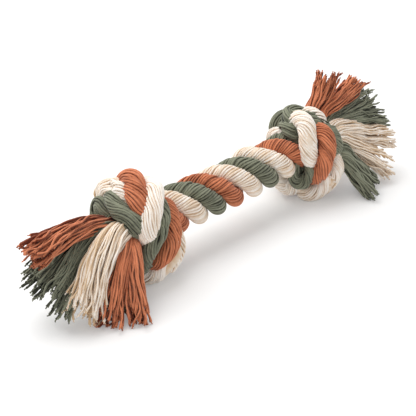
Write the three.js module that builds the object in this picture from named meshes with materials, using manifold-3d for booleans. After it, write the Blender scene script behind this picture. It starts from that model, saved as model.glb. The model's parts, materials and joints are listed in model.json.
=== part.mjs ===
// Rope dog toy: three cotton strands (cream, sage green, rust) laid into a rope, a big knot near each
// end, and the strands' yarns left loose beyond the knots as two tassels.
// Millimetres, +Z up. X runs along the rope, from the left tassel to the right one.
// The knots rest on the floor at z 0. The origin is on the floor, under the middle of the toy's box.

import * as THREE from 'three';
import { mergeVertices } from 'three/addons/utils/BufferGeometryUtils.js';
import Module from 'manifold-3d';

const wasm = await Module();
wasm.setup();

// Driving dimensions: the rope
const ropeDiameter = 25;            // over the three laid strands
const ropeStrandDiameter = 9.9;     // one strand, as packed in the rope
const layLength = 42;               // one full turn of a strand
const knotSpacing = 128;            // centre to centre of the knots
const layFront = -10.8;             // where the first rust band faces the front
const middleLength = 28;            // the stretch between the knots that bends

// Driving dimensions: the knots
const knotLength = 45.6;            // along the rope
const knotWidth = 49;
const knotHeight = 58.6;
const passWidth = 11.8;             // a strand in a knot, across its pass
const passThickness = 10.4;         // and from the knot's skin inward
const restDepth = 1;                // how far each knot is flattened where it rests

// Driving dimensions: the tassels
const tasselReach = 60;             // scale of the loose lengths beyond the knot's middle
const tuftRootRadius = 4.6;         // half width of a tuft where it leaves the knot
const tuftTipRadius = 8.4;          // half width of a standard tuft at its cut end
const tuftRag = 3.2;                // how unevenly the yarns are cut
const tuftRootFlute = 0.5;          // depth of the grooves between the yarns, at the knot
const tuftTipFlute = 3;             // and at the cut end, where the yarns spread
const seatGap = 0.3;                // clearance between neighbouring stretches

// Faceting
const passSides = 8;
const passSteps = 8;
const strandSides = 8;
const strandStepTurn = 36;          // degrees of lay between rings of a strand
const tuftLobes = 5;
const tuftRootSteps = 2;
const tuftTipSteps = 3;
const passTaperShares = [0.5, 0.86]; // a pass's thickness at its tucked end and one ring further

const strandOffset = (ropeDiameter - ropeStrandDiameter) / 2;
const ropeHeight = knotHeight / 2 - restDepth;
const shell = new THREE.Vector3(knotLength - passThickness, knotWidth - passThickness,
  knotHeight - passThickness).multiplyScalar(0.5);
const frontAngle = 144;             // degrees round the rope from the back: the side that faces the front

const finishes = {
  cream: { color: 0xe9ddcf, roughness: 0.95, metalness: 0 },
  green: { color: 0x5f6b58, roughness: 0.95, metalness: 0 },
  rust: { color: 0xb5643f, roughness: 0.95, metalness: 0 },
};

// How the strands take turns at the front of the rope, counted in thirds of the lay length from the
// first rust band. Rust and cream change places once, behind the rope, two thirds past that band.
const frontThirds = {
  cream: [-8, -5, -2, 1, 3, 6, 9],
  green: [-7, -4, -1, 2, 5, 8, 11],
  rust: [-9, -6, -3, 0, 4, 7, 10],
};
const crossingThird = 2;
const crossingShares = { cream: -0.42, green: 0, rust: 0.3 };
const crossingSharpness = 2;        // how quickly the strands are back in place on both sides of it

// The turns of the knots. Each row is [turn, lean, lift]: turn in degrees round the rope, 0 at the
// back and 90 on top; lean in degrees towards +X; lift in strand thicknesses above the knot's skin.
// The first passes of a knot lie over the later ones.
const leftKnotShares = [
  { name: 'cream_over', wide: 1.02, route: [
    [20, 44, -0.3], [52, 40, 0.05], [93, 31, 0.2], [112, 20, 0.1], [134, -2, 0.1], [150, -18, 0.1],
    [168, -28, 0.05], [-174, -29, -0.45]] },
  { name: 'green_cross', wide: 1, route: [
    [2, -52, -0.4], [18, -43, 0.15], [34, -33, 0.2], [60, -42, 0.05], [86, -48, 0.1],
    [115, -45, 0.15], [137, -41, 0.1], [156, -42, 0], [176, -41, -0.45]] },
  { name: 'rust_over', wide: 1.1, route: [
    [8, 18, -0.3], [40, 15, 0.1], [72, 10, 0.34], [90, -1, 0.24], [105, -12, 0.1],
    [123, -20, 0], [140, -25, -0.45]] },
  { name: 'green_side', wide: 0.85, route: [
    [132, 24, -0.45], [148, 14, -0.05], [160, 7, 0], [174, -6, 0], [-175, -20, 0], [-162, -30, 0],
    [-146, -31, 0], [-132, -28, -0.05], [-116, -28, -0.4]] },
  { name: 'rust_side', wide: 1, route: [
    [122, 44, -0.45], [140, 38, 0], [157, 47, 0.1], [180, 45, 0.2], [-156, 33, 0.12], [-141, 15, 0.05],
    [-131, -1, 0], [-122, -18, -0.35]] },
  { name: 'cream_low', wide: 1, route: [
    [-178, 58, -0.35], [-161, 38, 0.3], [-149, 27, 0.42], [-135, 14, 0.42], [-124, 1, 0.34],
    [-115, -11, 0.25], [-102, -26, -0.2]] },
  { name: 'cream_back', wide: 1, route: [
    [108, -28, -0.5], [84, -24, 0], [60, -20, 0.12], [45, -21, 0.36], [30, -26, 0.3],
    [12, -30, 0], [-5, -40, -0.35]] },
  { name: 'green_under', wide: 1, route: [
    [-142, 50, -0.3], [-122, 33, -0.05], [-98, 4, 0], [-78, -18, 0], [-60, -40, -0.3]] },
  { name: 'rust_rear', wide: 1, route: [
    [-106, 48, -0.3], [-85, 32, 0], [-60, 4, 0], [-38, -18, 0], [-20, -40, -0.3]] },
  { name: 'cream_rear', wide: 1, route: [
    [-68, 48, -0.3], [-48, 32, 0], [-22, 6, 0], [-4, -10, 0], [10, -26, -0.45]] },
  { name: 'green_rear', wide: 1, route: [
    [-30, 50, -0.3], [-12, 36, 0], [10, 12, -0.02], [30, -4, 0], [50, -14, -0.45]] },
];

const rightKnotShares = [
  { name: 'cream_front', wide: 1, route: [
    [62, -14, -0.5], [83, -18, 0.2], [100, -22, 0.24], [120, -23, 0.2], [137, -31, 0.16],
    [156, -41, 0.1], [176, -37, -0.4]] },
  { name: 'green_loop', wide: 0.95, route: [
    [4, -42, -0.4], [24, -30, 0.12], [42, -17, 0.34], [56, -6, 0.26], [72, 0, 0.14], [92, 4, -0.15],
    [114, 21, 0], [133, 36, 0.14], [157, 41, 0.28], [177, 40, 0.3], [-165, 44, -0.3]] },
  { name: 'rust_front', wide: 1, route: [
    [112, -2, -0.5], [133, 1, 0.08], [151, 6, 0.14], [167, -1, 0.12], [-175, -13, 0.1],
    [-153, -19, 0.05], [-136, -24, -0.45]] },
  { name: 'cream_low', wide: 1, route: [
    [160, 22, -0.5], [178, 30, 0.14], [-165, 28, 0.34], [-149, 20, 0.38], [-130, 6, 0.3],
    [-110, -12, 0.3], [-94, -20, -0.25]] },
  { name: 'green_bottom', wide: 0.8, route: [
    [-172, -66, -0.4], [-146, -62, 0], [-122, -50, 0.04], [-116, -38, 0.02], [-128, -32, -0.3]] },
  { name: 'cream_top', wide: 0.95, route: [
    [34, 12, -0.4], [54, 16, 0], [74, 20, 0.12], [90, 30, 0.14], [106, 44, 0], [122, 54, -0.35]] },
  { name: 'green_neck', wide: 0.85, route: [
    [38, -44, -0.35], [61, -47, 0], [85, -48, 0.02], [106, -51, 0], [128, -56, -0.3]] },
  { name: 'cream_neck', wide: 0.9, route: [
    [-112, -36, -0.4], [-90, -33, 0.1], [-65, -38, 0.06], [-35, -42, 0], [-5, -46, 0],
    [20, -52, 0], [44, -62, -0.35]] },
  { name: 'rust_under', wide: 1, route: [
    [-150, 52, -0.3], [-128, 38, -0.02], [-100, 10, 0], [-80, -8, 0], [-62, -24, -0.35]] },
  { name: 'green_under', wide: 1, route: [
    [-106, 50, -0.3], [-84, 34, 0], [-60, 8, 0], [-38, -12, 0], [-22, -28, -0.35]] },
  { name: 'rust_rear', wide: 1, route: [
    [-62, 50, -0.3], [-42, 36, 0], [-18, 12, 0], [2, -8, 0], [20, -22, -0.4]] },
  { name: 'cream_rear', wide: 1, route: [
    [-22, 52, -0.3], [-4, 38, 0], [20, 20, 0.02], [36, 4, -0.02], [50, -8, -0.45]] },
];

// The tufts of the tassels. Each point is [out, side, up] from the knot's middle, in tassel reaches:
// out along the rope and away from the other knot, side towards the back, up towards the top.
// A forked tuft shares its root with the tuft before it.
const leftTuftShares = [
  { name: 'rust_high', wide: 0.95, high: 0.62, route: [
    [0.1, -0.03, 0.1], [0.3, -0.07, 0.22], [0.78, -0.1, 0.3], [1.2, -0.15, 0.25]] },
  { name: 'cream_main', wide: 1, high: 0.6, route: [
    [0.1, -0.08, 0.06], [0.26, -0.13, 0.15], [0.54, -0.21, -0.11], [0.8, -0.25, -0.38]] },
  { name: 'green_main', wide: 1.55, high: 0.62, route: [
    [0.1, -0.04, 0.04], [0.34, -0.07, 0.11], [0.72, -0.13, 0.04], [1.08, -0.15, -0.16]] },
  { name: 'rust_front', wide: 0.9, high: 0.6, sway: 0.55, route: [
    [0.06, -0.1, 0], [0.2, -0.2, 0.02], [0.4, -0.29, -0.2], [0.64, -0.47, -0.4]] },
  { name: 'rust_side', wide: 0.7, high: 0.55, forked: true, sway: 0.64, route: [
    [0.06, -0.1, 0], [0.14, -0.26, -0.02], [0.27, -0.39, -0.22], [0.4, -0.58, -0.42]] },
  { name: 'green_low', wide: 0.9, high: 0.5, route: [
    [0.1, -0.02, -0.04], [0.28, -0.06, -0.14], [0.5, -0.16, -0.34], [0.74, -0.3, -0.42]] },
  { name: 'cream_low', wide: 1, high: 0.6, route: [
    [0.1, 0.04, -0.04], [0.3, 0.1, -0.06], [0.56, 0.16, -0.2], [0.84, 0.17, -0.38]] },
];

const rightTuftShares = [
  { name: 'rust_high', wide: 1.12, high: 0.62, sway: 0.66, route: [
    [0.12, 0.05, 0.12], [0.22, 0.08, 0.38], [0.3, 0.07, 0.53], [0.37, 0.05, 0.66]] },
  { name: 'rust_low', wide: 1, high: 0.6, route: [
    [0.14, 0, 0.12], [0.29, 0, 0.31], [0.49, -0.05, 0.42], [0.71, -0.08, 0.49]] },
  { name: 'green_high', wide: 0.95, high: 0.6, route: [
    [0.16, -0.03, 0.1], [0.32, -0.05, 0.24], [0.66, -0.07, 0.29], [1, -0.08, 0.31]] },
  { name: 'green_mid', wide: 1, high: 0.6, route: [
    [0.18, -0.06, 0.06], [0.34, -0.1, 0.16], [0.7, -0.17, 0.16], [1.05, -0.2, 0.07]] },
  { name: 'cream_high', wide: 1.15, high: 0.6, route: [
    [0.18, -0.08, 0.02], [0.35, -0.15, 0.07], [0.68, -0.25, 0.02], [1.02, -0.32, -0.14]] },
  { name: 'cream_low', wide: 1.1, high: 0.6, forked: true, route: [
    [0.18, -0.08, 0.02], [0.35, -0.2, -0.05], [0.6, -0.31, -0.2], [0.82, -0.44, -0.37]] },
  { name: 'green_low', wide: 1.15, high: 0.6, sway: 0.6, route: [
    [0.12, -0.1, -0.08], [0.3, -0.24, -0.14], [0.46, -0.38, -0.28], [0.52, -0.58, -0.4]] },
  { name: 'rust_back', wide: 1, high: 0.6, route: [
    [0.12, 0.05, -0.04], [0.34, 0.12, -0.08], [0.58, 0.18, -0.19], [0.8, 0.2, -0.34]] },
];
// Where the part of a tuft that sways begins, as a share of its route; sway sets it for a tuft that hugs
// the knot
const tuftSplitShare = 0.42;

function radians(degrees) {
  return THREE.MathUtils.degToRad(degrees);
}

// A closed tube through rings of points, with a point in the middle of each end
function tube(rings) {
  const sides = rings[0].length;
  const points = rings.flat();
  const ends = [rings[0], rings.at(-1)].map((ring) =>
    ring.reduce((sum, p) => sum.add(p), new THREE.Vector3()).divideScalar(sides));
  points.push(...ends);
  const index = [];
  for (let ring = 0; ring < rings.length - 1; ring += 1) {
    for (let side = 0; side < sides; side += 1) {
      const a = ring * sides + side;
      const b = ring * sides + (side + 1) % sides;
      index.push(a, b, a + sides, b, b + sides, a + sides);
    }
  }
  const last = (rings.length - 1) * sides;
  for (let side = 0; side < sides; side += 1) {
    const next = (side + 1) % sides;
    index.push(points.length - 2, next, side);
    index.push(points.length - 1, last + side, last + next);
  }
  const geometry = new THREE.BufferGeometry().setFromPoints(points);
  geometry.setIndex(index);
  return geometry;
}

function volumeOf(geometry) {
  const at = geometry.getAttribute('position');
  const [a, b, c] = [new THREE.Vector3(), new THREE.Vector3(), new THREE.Vector3()];
  let sixfold = 0;
  for (let i = 0; i < geometry.index.count; i += 3) {
    a.fromBufferAttribute(at, geometry.index.getX(i));
    b.fromBufferAttribute(at, geometry.index.getX(i + 1));
    c.fromBufferAttribute(at, geometry.index.getX(i + 2));
    sixfold += a.dot(b.cross(c));
  }
  return sixfold;
}

// A solid for cutting and joining, its faces turned outward
function solidOf(geometry) {
  const plain = geometry.index ? geometry.clone() : mergeVertices(geometry);
  const index = Uint32Array.from(plain.index.array);
  if (volumeOf(plain) < 0) {
    for (let i = 0; i < index.length; i += 3) {
      [index[i], index[i + 1]] = [index[i + 1], index[i]];
    }
  }
  const vertProperties = Float32Array.from(plain.getAttribute('position').array);
  return new wasm.Manifold(new wasm.Mesh({ numProp: 3, vertProperties, triVerts: index }));
}

function blockSolid(low, high) {
  const size = new THREE.Vector3().subVectors(high, low);
  const block = new THREE.BoxGeometry(size.x, size.y, size.z);
  block.translate((low.x + high.x) / 2, (low.y + high.y) / 2, (low.z + high.z) / 2);
  block.deleteAttribute('normal');
  block.deleteAttribute('uv');
  return solidOf(mergeVertices(block));
}

// A solid less everything that lies over it
function trimmed(solid, others) {
  return others.reduce((left, other) => left.subtract(other), solid);
}

// The largest single piece of a solid: slivers that a cut leaves behind are dropped
function largest(solid) {
  const pieces = solid.decompose();
  return pieces.reduce((best, piece) => (piece.volume() > best.volume() ? piece : best));
}

function meshOf(solid, name, colour) {
  const cut = solid.getMesh();
  const geometry = new THREE.BufferGeometry();
  const positions = new Float32Array(cut.numVert * 3);
  for (let i = 0; i < cut.numVert; i += 1) {
    for (let k = 0; k < 3; k += 1) {
      positions[i * 3 + k] = cut.vertProperties[i * cut.numProp + k];
    }
  }
  geometry.setAttribute('position', new THREE.BufferAttribute(positions, 3));
  geometry.setIndex(new THREE.BufferAttribute(cut.triVerts, 1));
  geometry.computeVertexNormals();
  const mesh = new THREE.Mesh(geometry, new THREE.MeshStandardMaterial(finishes[colour]));
  mesh.name = name;
  return mesh;
}

// One ring of a strand: an ellipse square to its run, wide along side and thick along out
function ellipseRing(centre, along, out, wide, thick, sides, radiusAt = () => 1) {
  const normal = out.clone().addScaledVector(along, -out.dot(along)).normalize();
  const side = new THREE.Vector3().crossVectors(along, normal);
  return Array.from({ length: sides }, (_, i) => {
    const angle = radians((360 * (i + 0.5)) / sides);
    const radius = radiusAt(i);
    return centre.clone()
      .addScaledVector(side, wide * radius * Math.cos(angle))
      .addScaledVector(normal, thick * radius * Math.sin(angle));
  });
}

// A point on or near the skin of a knot, and the direction that points out of it
function onKnot(centreX, [turn, lean, lift]) {
  const [theta, phi] = [radians(turn), radians(lean)];
  const unit = new THREE.Vector3(Math.sin(phi), Math.cos(phi) * Math.cos(theta),
    Math.cos(phi) * Math.sin(theta));
  const out = unit.clone().divide(shell).normalize();
  const point = unit.multiply(shell).addScaledVector(out, lift * passThickness);
  return point.add(new THREE.Vector3(centreX, 0, ropeHeight));
}

function knotOut(centreX, point) {
  const from = point.clone().sub(new THREE.Vector3(centreX, 0, ropeHeight));
  return from.divide(shell).divide(shell).normalize();
}

// One pass of a strand over a knot, grown all round by extra
function passGeometry(centreX, pass, extra) {
  const route = pass.route.map((row) => onKnot(centreX, row));
  const curve = new THREE.CatmullRomCurve3(route, false, 'centripetal');
  const rings = [];
  for (let step = 0; step <= passSteps; step += 1) {
    const t = step / passSteps;
    const centre = curve.getPointAt(t);
    const fromEnd = Math.min(step, passSteps - step);
    const taper = passTaperShares[fromEnd] ?? 1;
    rings.push(ellipseRing(centre, curve.getTangentAt(t), knotOut(centreX, centre),
      (passWidth / 2) * pass.wide * taper + extra, (passThickness / 2) * taper + extra, passSides));
  }
  return tube(rings);
}

// A strand's place in the rope after so many turns past its first listed front
function strandPoint(colour, turns) {
  const fronts = frontThirds[colour].map((third) => layFront + (third * layLength) / 3);
  const k = THREE.MathUtils.clamp(Math.floor(turns), 0, fronts.length - 2);
  const along = THREE.MathUtils.lerp(fronts[k], fronts[k + 1], turns - k);
  const theta = radians(frontAngle) + 2 * Math.PI * turns;
  const fromCrossing = (along - layFront - (crossingThird * layLength) / 3) / (layLength / 3);
  const bump = crossingShares[colour] * Math.exp(-crossingSharpness * fromCrossing ** 2);
  const offset = strandOffset + bump * ropeStrandDiameter;
  return new THREE.Vector3(along, offset * Math.cos(theta), ropeHeight + offset * Math.sin(theta));
}

// The number of turns at which a strand reaches a place along the rope
function turnsAt(colour, along) {
  const fronts = frontThirds[colour].map((third) => layFront + (third * layLength) / 3);
  const k = Math.max(0, fronts.findLastIndex((front) => front <= along));
  return k + (along - fronts[k]) / (fronts[k + 1] - fronts[k]);
}

// A stretch of one strand of the rope, between two places along it
function strandGeometry(colour, from, to, extra) {
  const [start, end] = [turnsAt(colour, from), turnsAt(colour, to)];
  const [stepTurns, nudge] = [strandStepTurn / 360, 0.01];
  const marks = [start];
  for (let k = Math.ceil((start + nudge) / stepTurns); k * stepTurns < end - nudge; k += 1) {
    marks.push(k * stepTurns);
  }
  marks.push(end);
  const rings = [];
  for (const turns of marks) {
    const centre = strandPoint(colour, turns);
    const along = strandPoint(colour, turns + nudge).sub(strandPoint(colour, turns - nudge)).normalize();
    const out = new THREE.Vector3(0, centre.y, centre.z - ropeHeight);
    const radius = ropeStrandDiameter / 2 + extra;
    rings.push(ellipseRing(centre, along, out, radius, radius, strandSides));
  }
  return tube(rings);
}

// A stretch of one tuft of loose yarns, fluted, its cut end ragged
function tuftGeometry(centreX, outward, tuft, from, to, steps, extra) {
  const route = tuft.route.map(([out, side, up]) =>
    new THREE.Vector3(outward * out, side, up).multiplyScalar(tasselReach)
      .add(new THREE.Vector3(centreX, 0, ropeHeight)));
  const curve = new THREE.CatmullRomCurve3(route, false, 'centripetal');
  const rings = [];
  for (let step = 0; step <= steps; step += 1) {
    const t = THREE.MathUtils.lerp(from, to, step / steps);
    const along = curve.getTangentAt(t);
    const spread = THREE.MathUtils.smoothstep(t, 0, 1);
    const wide = THREE.MathUtils.lerp(tuftRootRadius, tuftTipRadius * tuft.wide, spread);
    const thick = THREE.MathUtils.lerp(tuftRootRadius, tuftTipRadius * tuft.high, spread);
    const level = new THREE.Vector3(0, 0, 1);
    const groove = THREE.MathUtils.lerp(tuftRootFlute, tuftTipFlute, spread) / wide;
    const flute = (i) => 1 - (i % 2) * groove;
    const ring = ellipseRing(curve.getPointAt(t), along, level, wide + extra, thick + extra,
      2 * tuftLobes, flute);
    if (t === 1) {
      ring.forEach((p, i) => p.addScaledVector(along, tuftRag * Math.sin(i * tuftLobes)));
    }
    rings.push(ring);
  }
  return tube(rings);
}

const group = new THREE.Group();
const halfMiddle = middleLength / 2;
const knotMiddle = knotSpacing / 2;
const strandEnd = knotMiddle + knotLength / 4;
const floorSolid = blockSolid(
  new THREE.Vector3(-knotSpacing - tasselReach, -knotSpacing, -knotHeight),
  new THREE.Vector3(knotSpacing + tasselReach, knotSpacing, 0));

function add(solid, name, colour) {
  group.add(meshOf(solid, name, colour));
}

// A solid together with the clearance round it, for cutting what lies beside it
function withGap(shape) {
  return solidOf(shape(0)).add(solidOf(shape(seatGap)));
}

// The rope's strands, each from the middle of one knot to the middle of the other in three stretches
const stretches = [
  { name: 'rope_left', from: -strandEnd, to: -halfMiddle - seatGap / 2 },
  { name: 'rope_middle', from: -halfMiddle + seatGap / 2, to: halfMiddle - seatGap / 2 },
  { name: 'rope_right', from: halfMiddle + seatGap / 2, to: strandEnd },
];
const ropeCore = [];
for (const colour of ['green', 'rust', 'cream']) {
  for (const stretch of stretches) {
    const strand = solidOf(strandGeometry(colour, stretch.from, stretch.to, 0));
    add(trimmed(strand, ropeCore), `${stretch.name}_${colour}`, colour);
  }
  ropeCore.push(withGap((extra) => strandGeometry(colour, -strandEnd - extra, strandEnd + extra, extra)));
}

// The knots, each from its outermost pass inward, then the tassel that leaves it
const knots = [
  { side: 'left', outward: -1, passes: leftKnotShares, tufts: leftTuftShares },
  { side: 'right', outward: 1, passes: rightKnotShares, tufts: rightTuftShares },
];
for (const knot of knots) {
  const centreX = knot.outward * knotMiddle;
  const taken = [floorSolid, ...ropeCore];
  for (const pass of knot.passes) {
    const whole = solidOf(passGeometry(centreX, pass, 0));
    add(largest(trimmed(whole, taken)), `${knot.side}_knot_${pass.name}`, pass.name.split('_')[0]);
    taken.push(withGap((extra) => passGeometry(centreX, pass, extra)));
  }
  const roots = [];
  for (const tuft of knot.tufts) {
    const colour = tuft.name.split('_')[0];
    const sway = tuft.sway ?? tuftSplitShare;
    const rootEnd = sway - seatGap / tasselReach;
    const rootShape = (extra) =>
      tuftGeometry(centreX, knot.outward, tuft, 0, rootEnd, tuftRootSteps, extra);
    const tipShape = (extra) =>
      tuftGeometry(centreX, knot.outward, tuft, sway, 1, tuftTipSteps, extra);
    const root = solidOf(rootShape(0));
    if (tuft.forked) {
      roots.at(-1).solid = roots.at(-1).solid.add(root);
    } else {
      roots.push({ name: tuft.name, colour, taken: [...taken], solid: root });
    }
    add(largest(trimmed(solidOf(tipShape(0)), taken)), `${knot.side}_tassel_${tuft.name}_tips`, colour);
    taken.push(withGap(rootShape), withGap(tipShape));
  }
  for (const root of roots) {
    add(largest(trimmed(root.solid, root.taken)), `${knot.side}_tassel_${root.name}_root`, root.colour);
  }
}

// The origin goes under the middle of the toy's box
const middle = new THREE.Box3().setFromObject(group).getCenter(new THREE.Vector3());
for (const mesh of group.children) {
  mesh.geometry.translate(-middle.x, -middle.y, 0);
}

export default group;
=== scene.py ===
"""Rope dog toy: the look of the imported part.

Three cotton strands (cream, sage green, rust) are laid into a thick rope, tied into a big knot near
each end and left loose as tassels beyond the knots. Every yarn of a strand is its own tube.
Metres, in the part's own frame: X along the rope, Y towards the back, Z up, the floor at zero.
"""

import json
import math

import bpy
import numpy as np
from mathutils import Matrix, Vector


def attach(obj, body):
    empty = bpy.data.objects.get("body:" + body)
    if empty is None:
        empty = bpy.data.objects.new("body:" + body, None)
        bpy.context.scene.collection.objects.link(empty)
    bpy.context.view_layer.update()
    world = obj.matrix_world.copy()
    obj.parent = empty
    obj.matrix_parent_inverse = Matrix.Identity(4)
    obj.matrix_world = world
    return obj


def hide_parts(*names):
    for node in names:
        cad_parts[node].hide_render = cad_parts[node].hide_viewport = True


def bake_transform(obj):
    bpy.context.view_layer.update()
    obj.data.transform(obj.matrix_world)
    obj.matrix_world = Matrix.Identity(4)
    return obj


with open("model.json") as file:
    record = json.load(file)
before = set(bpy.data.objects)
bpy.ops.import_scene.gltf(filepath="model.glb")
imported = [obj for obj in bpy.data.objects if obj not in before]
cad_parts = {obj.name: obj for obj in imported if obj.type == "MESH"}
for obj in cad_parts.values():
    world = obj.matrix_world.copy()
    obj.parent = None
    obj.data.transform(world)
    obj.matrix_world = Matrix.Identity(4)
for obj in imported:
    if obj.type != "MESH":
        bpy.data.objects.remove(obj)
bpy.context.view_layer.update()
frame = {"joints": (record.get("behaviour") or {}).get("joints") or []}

MM = 0.001
LEAST = 1e-12                   # the shortest length that still has a direction
UPWARD = np.array([0.0, 0, 1])
OUTWARD = {"left": -1, "right": 1}
JOINTS = {joint["name"]: joint for joint in frame["joints"]}
ROPE_MIDDLE = np.array(JOINTS["rope_bend"]["pos_m"])
SEEDS = {                       # of the random draws
    "rope": 11,
    "inner": 50,
    "left_knot": 100,
    "right_knot": 300,
    "left_tassel": 300,
    "right_tassel": 900,
}

# The rope
ROPE_DIAMETER = 26.4 * MM       # over its three strands
ROPE_STRAND_DIAMETER = 10.4 * MM
LAY_LENGTH = 42 * MM            # of one full turn of a strand
KNOT_SPACING = 128 * MM         # from the middle of one knot to the middle of the other
ROPE_RISE = 4.4 * MM            # how much higher the rope meets the right knot than the left one
LAY_FRONT = -9.4 * MM           # the place of the rust band that the thirds below are counted from
FRONT_STRETCH = 2 * MM          # how far a strand is ahead of its lay below the front, and late above it
STRAND_OFFSET = (ROPE_DIAMETER - ROPE_STRAND_DIAMETER) / 2
FRONT_ANGLE = math.radians(144)  # round the rope, from the back over the top to the front
ROPE_RINGS = 460                # along each strand of the rope
PACE_SMOOTHING = ROPE_RINGS // 40   # rings each way over which a strand's changes of pace are evened out
LAY_SAMPLES = 1000              # places at which a strand's lay is worked out, to find its ends

# How the strands take turns at the front of the rope, counted in thirds of the lay length from one
# rust band. Rust and cream change places once, behind the rope, near the crossing.
FRONT_THIRDS = {
    "cream": [-8, -5, -2, 1.03, 3, 6, 9],
    "green": [-7, -4, -1, 2, 5, 8, 11],
    "rust": [-9, -6, -3, -0.05, 4, 7, 10],
}
UNDER_TURN = 0.35               # from a strand's front to its place under the rope, as a share of a turn
OVER_TURN = 0.85                # and on to its place over the rope
CROSSING_THIRD = 2.3            # the place of the crossing, in the same thirds
CROSSING_SHARES = {"cream": 0.3, "green": 0, "rust": -0.5}   # strand diameters that each moves out there
CROSSING_SHARPNESS = 2          # how fast that fades along the rope
BEHIND_POWER = 1.5              # and round it, away from the back

# The knots
KNOT_LENGTH = 45.6 * MM
KNOT_WIDTH = 49 * MM
KNOT_HEIGHT = 58.6 * MM
PASS_WIDTH = 11.8 * MM          # of a strand as it passes over a knot
PASS_THICKNESS = 10.4 * MM
SHELL = (np.array([KNOT_LENGTH, KNOT_WIDTH, KNOT_HEIGHT]) - PASS_THICKNESS) / 2   # of the middle lines
ROPE_END_REACH = KNOT_LENGTH / 4    # how far the rope's strands run on past a knot's middle
FEWEST_RINGS = 12               # of a pass
PASS_DIVE = 0.8                 # how much deeper the ends of a pass are led on, in its thicknesses
PASS_END_SHARE = 0.66           # of its size that a pass keeps at its ends
PASS_TAPER = 17 * MM            # the length over which it gets its full size
PASS_BARE_END = 9 * MM          # of a pass, that covers no other
SQUARE_ENOUGH = 0.5             # how square to a strand its outward direction has to be, to be used

# Where a strand goes under an upper one. The fades are counted in half widths or half thicknesses.
END_FADE = (0.4, 1.1)           # past the upper one's end, where it stops covering
EDGE_FADE = (0.9, 1.15)         # past its edge
CLEAR_FADE = (0.5, 1.0)         # above its middle, where the strand lies over it and not under
UNDER_GAP = 0.9 * MM            # from the upper one's skin to the yarns below it
EDGE_ROOM = 8 * MM              # how much higher the yarns may lie past its edge
UNDER_SMOOTHING = 2             # rings each way over which that is evened out

# The tassels
TASSEL_REACH = 60 * MM
TUFT_TIP_RADIUS = 8.4 * MM
TUFT_TWIST = 1.7                # radians that a tuft turns from its root to its tips
TUFT_SPLIT = 0.42               # where the part of a tuft that sways begins, as a share of its route
TUFT_STATIONS = 80              # along a tuft's middle line
OVERSHOOT = 0.12                # how far the line runs on past the tips, as a share of its length
EXTRA_RINGS = 4                 # that a yarn has beyond what its length asks for
ROOT_YARN_ROOM = 0.51 * MM      # a tuft's root radius for one yarn, growing with the root of their count
SPREAD_EVEN = 0.45              # of a tuft's spread that grows evenly. The rest grows near its tips.
SPREAD_POWER = 2.6

# The yarns
YARN_SPACING = 1.12 * MM        # from yarn to yarn on a laid strand
YARN_RADIUS = 0.69 * MM
LOOSE_YARN_RADIUS = 0.56 * MM
REST_HEIGHT = LOOSE_YARN_RADIUS * 1.1   # the lowest that the middle of a loose yarn lies
FEWEST_YARNS = 8                # on a strand
YARN_SIDES = 6
CORE_SIDES = 10                 # of the filling below the yarns
CORE_INSET = 1.25 * YARN_RADIUS  # of the filling, from the strand's skin
CORE_LEAST = 1 * MM             # its smallest radius
CORE_SHADE_TINT = -1.0                # painted shade: as dark as the darkest yarn, for the gaps between the yarns
STATION = 1.0 * MM              # between the rings of a pass
LOOSE_STATION = 1.6 * MM        # and of a loose yarn
ROPE_YARN_ANGLE = 60            # degrees between a yarn and its strand, in the rope
INNER_YARN_ANGLE = 34           # and in the turns inside a knot
CREASE_DEPTH = 0.9 * MM         # of the creases where a yarn sinks between its neighbours
CREASE_LENGTH = 7 * MM
CREASE_EVERY = 30 * MM
CREASE_SHARE = 0.3              # of the yarns that sink once in that length
BUNCH_YARNS = (3, 7)            # fewest and most yarns of a bunch
BUNCH_DEPTH = 0.45 * MM         # of the grooves between bunches
GROOVE_DEPTHS = (0.5, 1)        # the range of their depths, as shares of it
GROOVE_MIDDLE = 0.6             # how deep a groove is on the whole, as a share of its own depth
GROOVE_SHARES = {"cream": 0.4, "green": 1, "rust": 0.8}   # of all those depths, by colour
TINT_AND_LIGHT_SHIFTS = {                 # how much lighter the yarns are than the middle of their colour; partly painted light, with the knots' yarns lighter than the same strands in the rope, as where light falls on their tops
    "rope": {"cream": -0.4, "green": -0.2, "rust": -0.3},
    "knot": {"cream": 0.4, "green": 0.1, "rust": 0.2},
    "tuft": {"cream": -0.6, "green": 0.5, "rust": 0.3},
}

# How the yarns stray. A wandering curve has its wavelength and its size.
WAVES = (0.6, 1.0, 1.9)         # the waves that add up to a curve, in its wavelengths
WAVE_RANGE = (0.8, 1.25)        # how far those lengths differ from yarn to yarn
YARN_STRAY = (14 * MM, 0.5)     # of each yarn to its sides, in half spacings
STRAND_STRAY = (22 * MM, 0.4)   # of all yarns together round their strand, in radians
THICKNESS_STRAY = (9 * MM, 0.06)    # of a yarn's radius
DEPTH_STRAY = (12 * MM, 0.035)  # of its depth, as a share of the strand's half size
GROOVE_STRAY = (16 * MM, 0.4)   # of the grooves' depth
YARN_SIZES = (0.86, 1.16)       # the range of the laid yarns' radii
YARN_DEPTHS = (-0.045, 0.02)    # how far in and out they lie, as shares of the strand's half size
LOOSE_SIZES = (0.88, 1.14)      # the range of the loose yarns' radii
LOOSE_WAVE = 24 * MM            # the wavelength of the loose yarns' bends
ROOT_BEND = 0.35                # millimetres that they bend aside at the root
TIP_BEND = 1.1                  # millimetres more at the tips
STRAY_BEND = 2                  # and as many more for the yarns that stand off their tuft
STRAY_SHARE = 0.06              # of the loose yarns, that stand off
STRAY_REACH = 0.04              # how much longer those are, as a share of the tuft
GOLDEN_ANGLE = 2.39996          # radians from each yarn of a tuft to the next, which fills a disc evenly
ANGLE_RANGE = (-0.3, 0.3)       # how far they are off that, in radians

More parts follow.
